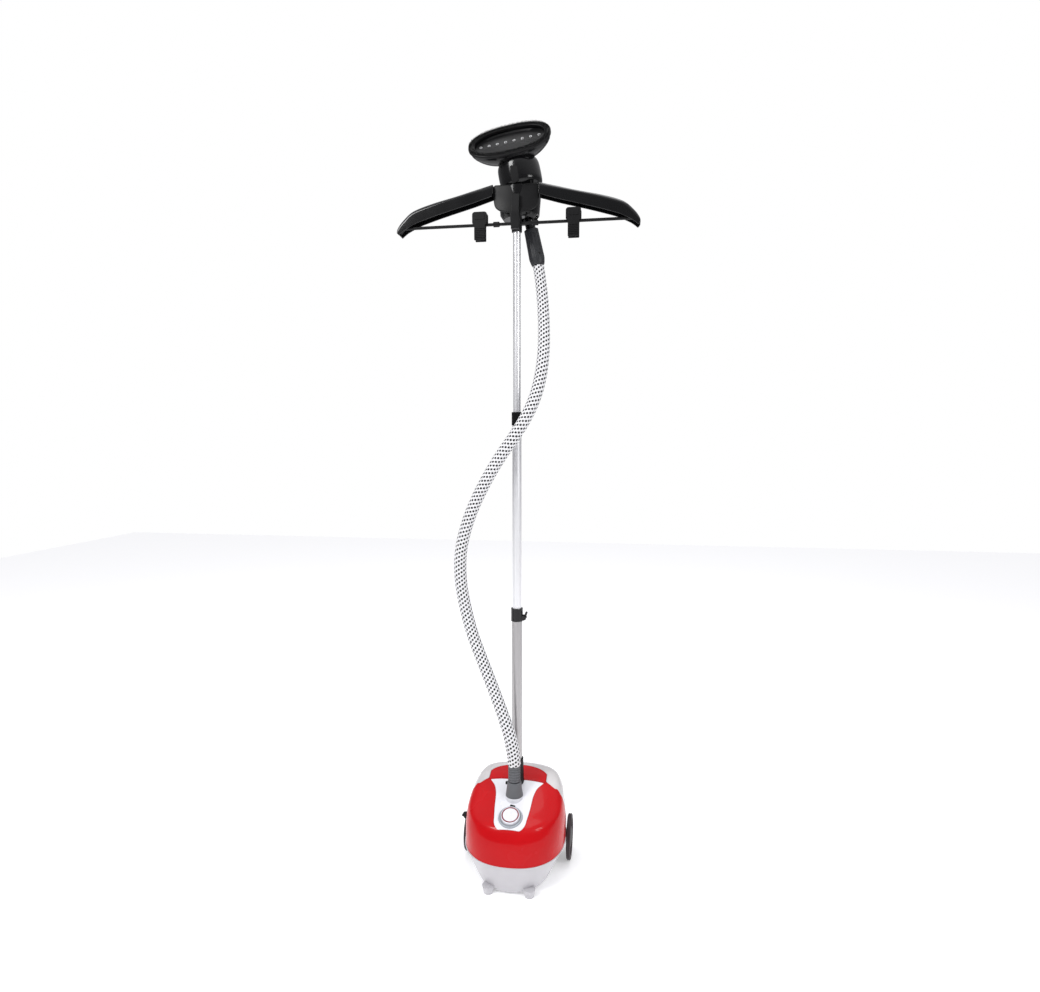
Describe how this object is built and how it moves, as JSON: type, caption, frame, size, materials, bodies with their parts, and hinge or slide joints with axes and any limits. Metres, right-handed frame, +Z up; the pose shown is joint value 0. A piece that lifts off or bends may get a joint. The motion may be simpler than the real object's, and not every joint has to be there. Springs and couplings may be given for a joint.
{
  "type": "garment steamer",
  "caption": "Upright garment steamer with a wheeled base, lift-out water tank, telescopic pole, clothes hanger with clips, braided hose and hand-held steam head.",
  "frame": {"origin": "On the floor under the middle of the base, at the bottom centre of the whole object without its hose.", "axes": "+Z up along the pole, front of the base and of the steam head towards -Y, +X to the right seen from the front."},
  "size_m": [0.49, 0.24, 1.5497],
  "materials": {
    "pan": "satin light grey",
    "steel": "plated",
    "red_shell": "high gloss red",
    "white_panel": "satin white",
    "tank": "translucent smoke grey",
    "black_matt": "fine matt black",
    "seal": "soft black",
    "cast_alu": "as cast",
    "dark_grey": "dark grey",
    "grey": "mid grey",
    "knob_red": "burgundy inlay",
    "wheel": "black with a dull tread",
    "tube": "brushed anodised",
    "black_gloss": "glossy black",
    "bristle": "dense short black bristle",
    "sleeve_grey": "dark grey ribbed",
    "braid": "white braid with black flecks"
  },
  "bodies": {
    "base": {"lower_shell": "pan", "front_feet": "pan", "base_screws": "steel", "upper_shell": "red_shell", "rear_strip": "red_shell", "control_panel": "white_panel", "feed_chamber": "white_panel", "feed_pipe": "seal", "heater_block": "cast_alu", "heater_lid": "cast_alu", "thermostat": "steel", "steam_pipe": "seal", "rotary_switch": "dark_grey", "knob_bezel": "grey", "hose_socket": "grey", "pole_socket": "black_matt", "cord_gland": "seal", "cord_hook": "black_matt", "axle": "steel", "axle_clips": "steel", "lower_tube": "tube", "lower_clamp": "black_gloss", "hose_cuff": "grey", "steam_hose": "braid"},
    "tank": {"water_tank": "tank"},
    "cap": {"tank_cap": "black_matt", "tank_seal": "seal", "valve_spring": "steel"},
    "valve": {"tank_valve": "white_panel"},
    "dial": {"knob": "white_panel", "knob_ring": "knob_red"},
    "button": {"release_button": "black_matt"},
    "wheel_left": {"left_wheel": "wheel", "left_hub_cap": "dark_grey"},
    "wheel_right": {"right_wheel": "wheel", "right_hub_cap": "dark_grey"},
    "low_cam": {"lower_lever": "black_gloss"},
    "middle_pole": {"middle_tube": "tube", "lower_bush": "white_panel", "upper_clamp": "black_gloss"},
    "up_cam": {"upper_lever": "black_gloss"},
    "upper_pole": {"upper_tube": "tube", "upper_bush": "white_panel", "hanger_hub": "black_matt", "cradle_cup": "black_gloss", "left_arm": "black_gloss", "right_arm": "black_gloss", "trouser_bar": "black_matt", "bar_collars": "black_matt"},
    "clip_left": {"left_clip": "black_matt"},
    "jaw_left": {"left_clip_jaw": "black_matt"},
    "clip_right": {"right_clip": "black_matt"},
    "jaw_right": {"right_clip_jaw": "black_matt"},
    "handheld": {"head_shell": "black_gloss", "face_plate": "dark_grey", "brush_frame": "bristle", "handle_shell": "black_gloss", "hose_sleeve": "sleeve_grey"}
  },
  "joints": [
    {"name": "middle_pole_slide", "type": "slide", "parent": "base", "child": "middle_pole", "axis": [0, 0, -1], "range_m": [0, 0.34], "deforming": ["steam_hose"]},
    {"name": "upper_pole_slide", "type": "slide", "parent": "middle_pole", "child": "upper_pole", "axis": [0, 0, -1], "range_m": [0, 0.33]},
    {"name": "lower_cam_swing", "type": "hinge", "parent": "base", "child": "low_cam", "pos_m": [0.0162, 0.008, 0.541], "axis": [0, 1, 0], "range_deg": [0, 75]},
    {"name": "upper_cam_swing", "type": "hinge", "parent": "middle_pole", "child": "up_cam", "pos_m": [0.0146, 0.008, 0.951], "axis": [0, 1, 0], "range_deg": [0, 75]},
    {"name": "dial_turn", "type": "hinge", "parent": "base", "child": "dial", "pos_m": [0, -0.079, 0.148], "axis": [0, -0.3714, 0.9285], "range_deg": [-150, 0]},
    {"name": "hose_release_press", "type": "slide", "parent": "base", "child": "button", "axis": [1, 0, 0], "range_m": [0, 0.002], "stiffness_N_per_m": 800},
    {"name": "left_wheel_spin", "type": "hinge", "parent": "base", "child": "wheel_left", "pos_m": [-0.112, 0.039, 0.0465], "axis": [1, 0, 0], "continuous": true},
    {"name": "right_wheel_spin", "type": "hinge", "parent": "base", "child": "wheel_right", "pos_m": [0.112, 0.039, 0.0465], "axis": [1, 0, 0], "continuous": true},
    {"name": "tank_lift", "type": "slide", "parent": "base", "child": "tank", "axis": [0, 0, 1], "range_m": [0, 0.16]},
    {"name": "tank_cap_turn", "type": "hinge", "parent": "tank", "child": "cap", "pos_m": [0.03, 0.08, 0.06], "axis": [0, 0, 1], "range_deg": [0, 90]},
    {"name": "tank_valve_press", "type": "slide", "parent": "cap", "child": "valve", "axis": [0, 0, 1], "range_m": [0, 0.003], "stiffness_N_per_m": 300, "deforming": ["valve_spring"]},
    {"name": "left_clip_slide", "type": "slide", "parent": "upper_pole", "child": "clip_left", "axis": [1, 0, 0], "range_m": [-0.058, 0.009]},
    {"name": "right_clip_slide", "type": "slide", "parent": "upper_pole", "child": "clip_right", "axis": [1, 0, 0], "range_m": [-0.05, 0.015]},
    {"name": "left_clip_open", "type": "hinge", "parent": "clip_left", "child": "jaw_left", "pos_m": [-0.072, -0.006, 1.343], "axis": [-1, 0, 0], "range_deg": [0, 20], "stiffness_Nm_per_rad": 0.4},
    {"name": "right_clip_open", "type": "hinge", "parent": "clip_right", "child": "jaw_right", "pos_m": [0.115, -0.006, 1.343], "axis": [-1, 0, 0], "range_deg": [0, 20], "stiffness_Nm_per_rad": 0.4},
    {"name": "handheld_lift", "type": "slide", "parent": "upper_pole", "child": "handheld", "axis": [-0.2079, 0, 0.9781], "range_m": [0, 0.2]}
  ]
}
